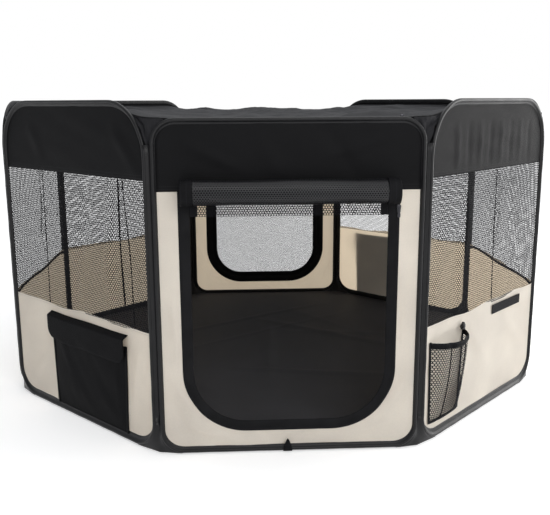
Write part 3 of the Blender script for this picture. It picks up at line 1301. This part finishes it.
class PLAYPEN_OT_bottle_pocket(bpy.types.Operator):
    """Net pocket for a bottle, with bound edges, a gathered mouth and its drawcord"""

    bl_idname = "playpen.bottle_pocket"
    bl_label = "Bottle pocket"

    panel = "right_front"

    def execute(self, context):
        self.low = panel_box("bottle_pocket", self.panel)[0]
        self.high = panel_box("bottle_pocket_mouth", self.panel)[1]
        self.net("bottle_net", linspace(0, 1, 56)[None, :], linspace(0, 1, 50)[:, None], "pouch_net", (0, 0),
                 0.150, "right_front_skirt_cloth", "bottle_pocket")
        along, inside, level = linspace(0, 1, 40), linspace(0.02, 0.97, 40), np.ones(40)
        for name, u, v, half in (("left_edge", 0 * level, along, 0.0036), ("right_edge", level, along, 0.0036),
                                 ("bottom_edge", along, 0.012 * level, 0.0032),
                                 ("pleat", 0.70 * level, inside, 0.0016),
                                 ("pleat_left", 0.26 * level, inside, 0.0007)):
            ring = tube(stack(self.shape(u, v), -1), half, 0.0010, 14)
            self.bound("bottle_" + name, ring, running(stack(self.shape(u, v), -1)))
        self.mouth()
        v = linspace(0.02, 0.42, 24)[:, None]
        start = 0.42 + 0.5 * (v / 0.42) ** 0.8
        self.net("bottle_gusset", start + linspace(0, 1, 16) * (0.99 - start), v, "dense_net", (0.0021, 0.0013),
                 0.05, "bottle_net", deep=0.0007)
        self.drawcord()
        return {"FINISHED"}

    def shape(self, u, v, deep=0.0):
        """A bag: bowed across like a flattened arch, narrower and shallower towards the bottom, sagging at
        the mouth."""
        low, high, taper = self.low, self.high, 0.010 * (1 - v)
        x = low[0] + 0.5 * taper + u * (high[0] - low[0] - 1.7 * taper)
        arch = (1 - abs(2 * u - 1) ** 2.4) ** 0.8
        lift = 0.25 + 0.75 * sin(clip(v, 0, 1) * math.pi * 0.52) ** 0.8
        depth = (high[1] - low[1] - 0.005) * arch * lift * clip(v / 0.07, 0, 1) ** 0.5
        pleat = 0.0035 * exp(-(((u - 0.70) / 0.05) ** 2)) * v + 0.0022 * exp(-(((u - 0.24) / 0.05) ** 2))
        out = low[1] + 0.0009 + depth - pleat * clip(depth / 0.012, 0, 1) + deep
        return x, out, low[2] + v * (high[2] - low[2]) - 0.002 * v ** 3 * sin(math.pi * u)

    def net(self, name, u, v, finish, offset, width, rests_on, node=None, deep=0.0):
        """A stretch of the bag's surface, a little proud of it where it is doubled."""
        x, out, z = self.shape(u, v, deep)
        points = stand(self.panel, x, out, z)
        obj = surface(name, points, finish, (u * 0.15 + offset[0], z + offset[1]))
        dress(obj, self.panel, "black_mesh", *filter(None, [node]))

    def bound(self, name, ring, run, *nodes, flip=False):
        """Tape along an edge of the bag, kept off the skirt behind it."""
        points = stand(self.panel, ring[..., 0], maximum(ring[..., 1], self.low[1]), ring[..., 2])
        obj = surface(name, points, "strap", (run[:, None], linspace(0, 0.02, ring.shape[1] + 1)),
                      wrap=(False, True), ends=2, flip=flip)
        dress(obj, self.panel, "black_binding", *nodes)

    def mouth(self):
        """Gathered binding round the mouth: an upright oval section with small puckers, carried across the
        bag."""
        u = linspace(0, 1, 90)
        path = stack(self.shape(u, np.full(90, 0.985)), -1)
        angle = circle(18)[None, :]
        pucker = 1 + 0.10 * sin(u * TURN * 22)[:, None]
        ring = stack(np.broadcast_arrays(path[:, 0, None], path[:, 1, None] + 0.0020 * pucker * cos(angle),
                                            path[:, 2, None] - 0.0035 + 0.0058 * sin(angle)), -1)
        self.bound("bottle_mouth", ring, running(path), "bottle_pocket_mouth", flip=True)

    def drawcord(self):
        """Bight of drawcord at the lock: a round section carried round a narrow hoop."""
        low, high = panel_box("cord_lock", self.panel)
        x, out, z = (low[0] + high[0]) / 2, (low[1] + high[1]) / 2, high[2] - 0.006
        t = circle(60)
        path = stack([x - 0.0055 - 0.0046 * cos(t), out - 0.001 * sin(t), z + 0.001 + 0.0034 * sin(t)], -1)
        ring = tube(path, 0.0011, 0.0011, 10, closed=True)
        obj = surface("drawcord_loop", stand(self.panel, *np.moveaxis(ring, -1, 0)), "strap",
                      (linspace(0, 0.025, 61)[:, None], linspace(0, 0.01, 11)), wrap=(True, True))
        dress(obj, "lock", "black_binding")


class PLAYPEN_OT_cord_lock(bpy.types.Operator):
    """Barrel and button of the drawcord's lock"""

    bl_idname = "playpen.cord_lock"
    bl_label = "Cord lock"

    def execute(self, context):
        low, high = panel_box("cord_lock", "right_front")
        x, out = (low[0] + high[0]) / 2, (low[1] + high[1]) / 2
        barrel = [0, 0.04, 0.12, 0.3, 0.34, 0.42, 0.46, 0.7, 0.9, 0.97, 1.0], [
            0.7, 0.88, 0.98, 1.0, 0.88, 0.88, 1.0, 1.0, 0.97, 0.9, 0.8]
        plunger = [0, 0.1, 0.5, 0.8, 0.93, 1.0], [0.9, 1, 1, 0.98, 0.86, 0.6]
        for name, body, node, (t, w) in (("barrel", "lock", "cord_lock", barrel),
                                         ("plunger", "button", "cord_lock_button", plunger)):
            low, high = panel_box(node, "right_front")
            r = (high[0] - low[0]) / 2 * array(w)
            obj = stacked("cord_lock_" + name, "right_front", x, out, low[2] + array(t) * (high[2] - low[2]), r, r,
                          "lock_plastic", 2.2, 32)
            dress(obj, body, "lock_plastic", node)
        return {"FINISHED"}


class PLAYPEN_OT_small_parts(bpy.types.Operator):
    """Hook-and-loop strip and the pointed pull tab under the front door"""

    bl_idname = "playpen.small_parts"
    bl_label = "Strip and tab"

    def execute(self, context):
        self.strip()
        self.tab()
        return {"FINISHED"}

    def strip(self):
        """A flat pad with rounded edges: superellipse sections along its length, stood on end and laid
        along x."""
        low, high = panel_box("hook_strip", "right_front")
        mid, half = (low + high) / 2, (high - low) / 2
        x = low[0] + (high[0] - low[0]) * array([0, 0.004, 0.012, 0.2, 0.4, 0.6, 0.8, 0.988, 0.996, 1.0])[:, None]
        full = array([0.96, 0.985, 1, 1, 1, 1, 1, 1, 0.985, 0.96])[:, None]
        c, s = superellipse(40, 9, 4)
        obj = surface("loop_strip", stand("right_front", x, mid[1] + half[1] * full * s, mid[2] + half[2] * full * c),
                      "loop_pile", (x, linspace(0, 0.04, 41)), wrap=(False, True), ends=2)
        dress(obj, "right_front", "hook_and_loop", "hook_strip")

    def tab(self):
        """Folded tape drawn to a rounded point: the half width falls as a quarter ellipse to the tip."""
        low, high = panel_box("pull_tab", "front")
        t = linspace(0, 1, 22)
        w = (high[0] - low[0]) / 2 * (0.04 + 0.96 * (1 - t ** 1.5) ** 0.75)
        d = (high[1] - low[1]) / 2 * (0.85 + 0.15 * sin(math.pi * t))
        obj = stacked("point_tab", "front", (low[0] + high[0]) / 2, (low[1] + high[1]) / 2,
                      low[2] + t * (high[2] - low[2]), w, d, "strap", 2.4)
        dress(obj, "front", "black_binding", "pull_tab")


# ---- panel, registration and the run ------------------------------------------------------------

OPERATORS = (PLAYPEN_OT_stage, PLAYPEN_OT_bindings, PLAYPEN_OT_headers, PLAYPEN_OT_windows, PLAYPEN_OT_skirts,
             PLAYPEN_OT_inner_seams, PLAYPEN_OT_corner_joins, PLAYPEN_OT_zip_borders, PLAYPEN_OT_back_door,
             PLAYPEN_OT_front_door, PLAYPEN_OT_sliders, PLAYPEN_OT_top, PLAYPEN_OT_floor_mat,
             PLAYPEN_OT_flap_pockets, PLAYPEN_OT_bottle_pocket, PLAYPEN_OT_cord_lock, PLAYPEN_OT_small_parts)


class PLAYPEN_PT_builder(bpy.types.Panel):
    """Settings and steps of the playpen"""

    bl_idname = "PLAYPEN_PT_builder"
    bl_label = "Pet playpen"
    bl_space_type = "VIEW_3D"
    bl_region_type = "UI"
    bl_category = "Playpen"

    def draw(self, context):
        for group in (context.scene.playpen_sizes, context.scene.playpen_colours):
            box = self.layout.box()
            for key in group.bl_rna.properties.keys():
                if key not in ("rna_type", "name"):
                    box.prop(group, key)
        for operator in OPERATORS:
            self.layout.operator(operator.bl_idname)


CLASSES = (PlaypenSizes, PlaypenColours, *OPERATORS, PLAYPEN_PT_builder)


def register():
    for cls in CLASSES:
        bpy.utils.register_class(cls)
    bpy.types.Scene.playpen_sizes = PointerProperty(type=PlaypenSizes)
    bpy.types.Scene.playpen_colours = PointerProperty(type=PlaypenColours)


def unregister():
    del bpy.types.Scene.playpen_colours
    del bpy.types.Scene.playpen_sizes
    for cls in reversed(CLASSES):
        bpy.utils.unregister_class(cls)


def main():
    register()
    for operator in OPERATORS:
        step = operator.bl_idname.split(".")[1]
        getattr(bpy.ops.playpen, step)()


if __name__ == "__main__":
    main()
